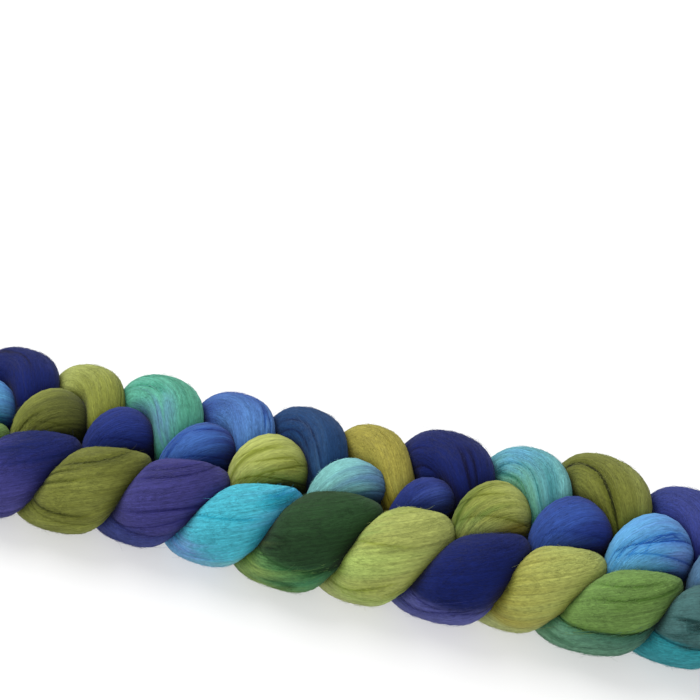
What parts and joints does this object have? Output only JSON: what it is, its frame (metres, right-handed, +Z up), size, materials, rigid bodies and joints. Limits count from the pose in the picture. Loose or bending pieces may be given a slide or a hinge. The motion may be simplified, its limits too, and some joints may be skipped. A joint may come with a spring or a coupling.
{
  "type": "braid of wool roving",
  "caption": "Thick combed wool strand worked into a plump chain braid, dyed in bands of blue, violet, teal, green and olive.",
  "frame": {"origin": "on the resting plane, under the middle of the braid's bounding box", "axes": "+X along the braid from its starting end to its finishing end, +Y across it towards the far legs, +Z up out of the row of bumps"},
  "size_m": [0.5113, 0.099, 0.043],
  "materials": {
    "wool": "soft combed wool, hand dyed in bands, with a faint silky sheen along the fibres"
  },
  "bodies": {
    "root": {"braid": "wool"}
  },
  "joints": []
}
